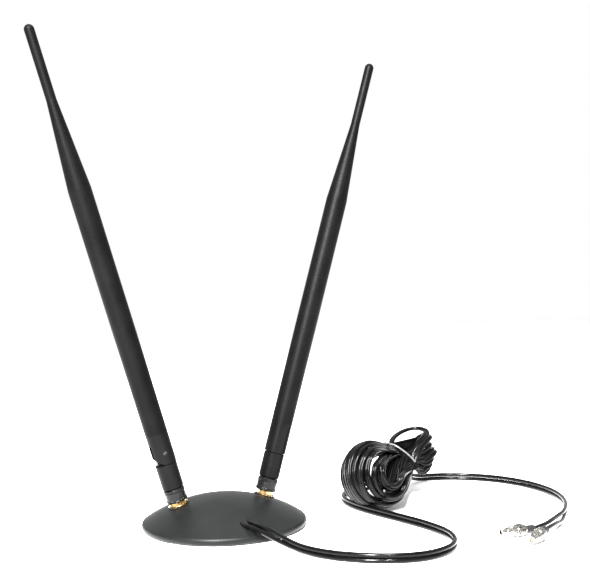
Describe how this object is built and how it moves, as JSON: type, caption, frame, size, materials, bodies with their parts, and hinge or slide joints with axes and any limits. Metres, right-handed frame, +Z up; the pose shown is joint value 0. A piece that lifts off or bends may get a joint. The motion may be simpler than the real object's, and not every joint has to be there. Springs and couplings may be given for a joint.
{
  "type": "twin whip desk antenna",
  "caption": "Weighted round domed base with tilting, swivelling whip antennas on tilted threaded jacks, and a twin coaxial lead tied in a hank that ends in push-on plugs.",
  "frame": {"origin": "centre of the round base's underside, on the table", "axes": "+X along the line of the jacks towards the right whip, -Y the side where the lead leaves, +Z up"},
  "size_m": [0.3411, 0.1806, 0.2949],
  "materials": {
    "dome_abs": "satin",
    "foot_rubber": "matte",
    "ballast_steel": "plain zinc plated",
    "ferrite": "matte",
    "screw_steel": "zinc plated",
    "inner_plastic": "matte",
    "gold_brass": "gold plated",
    "ptfe": "satin",
    "nut_black": null,
    "knuckle_abs": "smooth satin",
    "whip_abs": "fine texture",
    "pin_steel": "bright",
    "radiator_brass": "plain",
    "lead_pvc": "glossy",
    "tie_wire": "plastic coated wire",
    "nickel": "bright nickel",
    "boot_rubber": "matte"
  },
  "bodies": {
    "base": {"base_cover": "dome_abs", "base_plate": "ballast_steel", "base_pad": "foot_rubber", "ring_magnet": "ferrite", "cover_screws": "screw_steel", "lead_saddle": "inner_plastic", "cord_hank": "lead_pvc", "hank_tie": "tie_wire", "left_jack_body": "gold_brass", "left_jack_insulator": "ptfe", "left_jack_contact": "gold_brass", "left_jack_washer": "gold_brass", "left_jack_nut": "gold_brass", "left_inner_lead": "lead_pvc", "left_lead_front": "lead_pvc", "left_lead_back": "lead_pvc", "left_lead_plug_shell": "nickel", "left_lead_plug_insulator": "ptfe", "left_lead_plug_contact": "gold_brass", "left_lead_boot": "boot_rubber", "right_jack_body": "gold_brass", "right_jack_insulator": "ptfe", "right_jack_contact": "gold_brass", "right_jack_washer": "gold_brass", "right_jack_nut": "gold_brass", "right_inner_lead": "lead_pvc", "right_lead_front": "lead_pvc", "right_lead_back": "lead_pvc", "right_lead_plug_shell": "nickel", "right_lead_plug_insulator": "ptfe", "right_lead_plug_contact": "gold_brass", "right_lead_boot": "boot_rubber"},
    "left_nut": {"left_coupling_nut": "nut_black"},
    "left_swivel": {"left_plug_body": "gold_brass", "left_plug_insulator": "ptfe", "left_plug_pin": "gold_brass", "left_swivel_collar": "knuckle_abs"},
    "left_whip": {"left_knuckle": "knuckle_abs", "left_elbow_pin": "pin_steel", "left_whip_sleeve": "whip_abs", "left_radiator": "radiator_brass"},
    "right_nut": {"right_coupling_nut": "nut_black"},
    "right_swivel": {"right_plug_body": "gold_brass", "right_plug_insulator": "ptfe", "right_plug_pin": "gold_brass", "right_swivel_collar": "knuckle_abs"},
    "right_whip": {"right_knuckle": "knuckle_abs", "right_elbow_pin": "pin_steel", "right_whip_sleeve": "whip_abs", "right_radiator": "radiator_brass"}
  },
  "joints": [
    {"name": "left_nut_spin", "type": "hinge", "parent": "base", "child": "left_nut", "pos_m": [-0.0277, 0.0035, 0.01453], "axis": [-0.2857, 0, 0.9583], "continuous": true},
    {"name": "left_swivel", "type": "hinge", "parent": "base", "child": "left_swivel", "pos_m": [-0.0277, 0.0035, 0.01453], "axis": [-0.2857, 0, 0.9583], "continuous": true},
    {"name": "left_elbow", "type": "hinge", "parent": "left_swivel", "child": "left_whip", "pos_m": [-0.03738, 0.0035, 0.04702], "axis": [0, -1, 0], "range_deg": [0, 80]},
    {"name": "right_nut_spin", "type": "hinge", "parent": "base", "child": "right_nut", "pos_m": [0.0277, 0.0035, 0.01453], "axis": [0.2857, 0, 0.9583], "continuous": true},
    {"name": "right_swivel", "type": "hinge", "parent": "base", "child": "right_swivel", "pos_m": [0.0277, 0.0035, 0.01453], "axis": [0.2857, 0, 0.9583], "continuous": true},
    {"name": "right_elbow", "type": "hinge", "parent": "right_swivel", "child": "right_whip", "pos_m": [0.03738, 0.0035, 0.04702], "axis": [-0.9583, 0, 0.2857], "range_deg": [0, 80]}
  ]
}
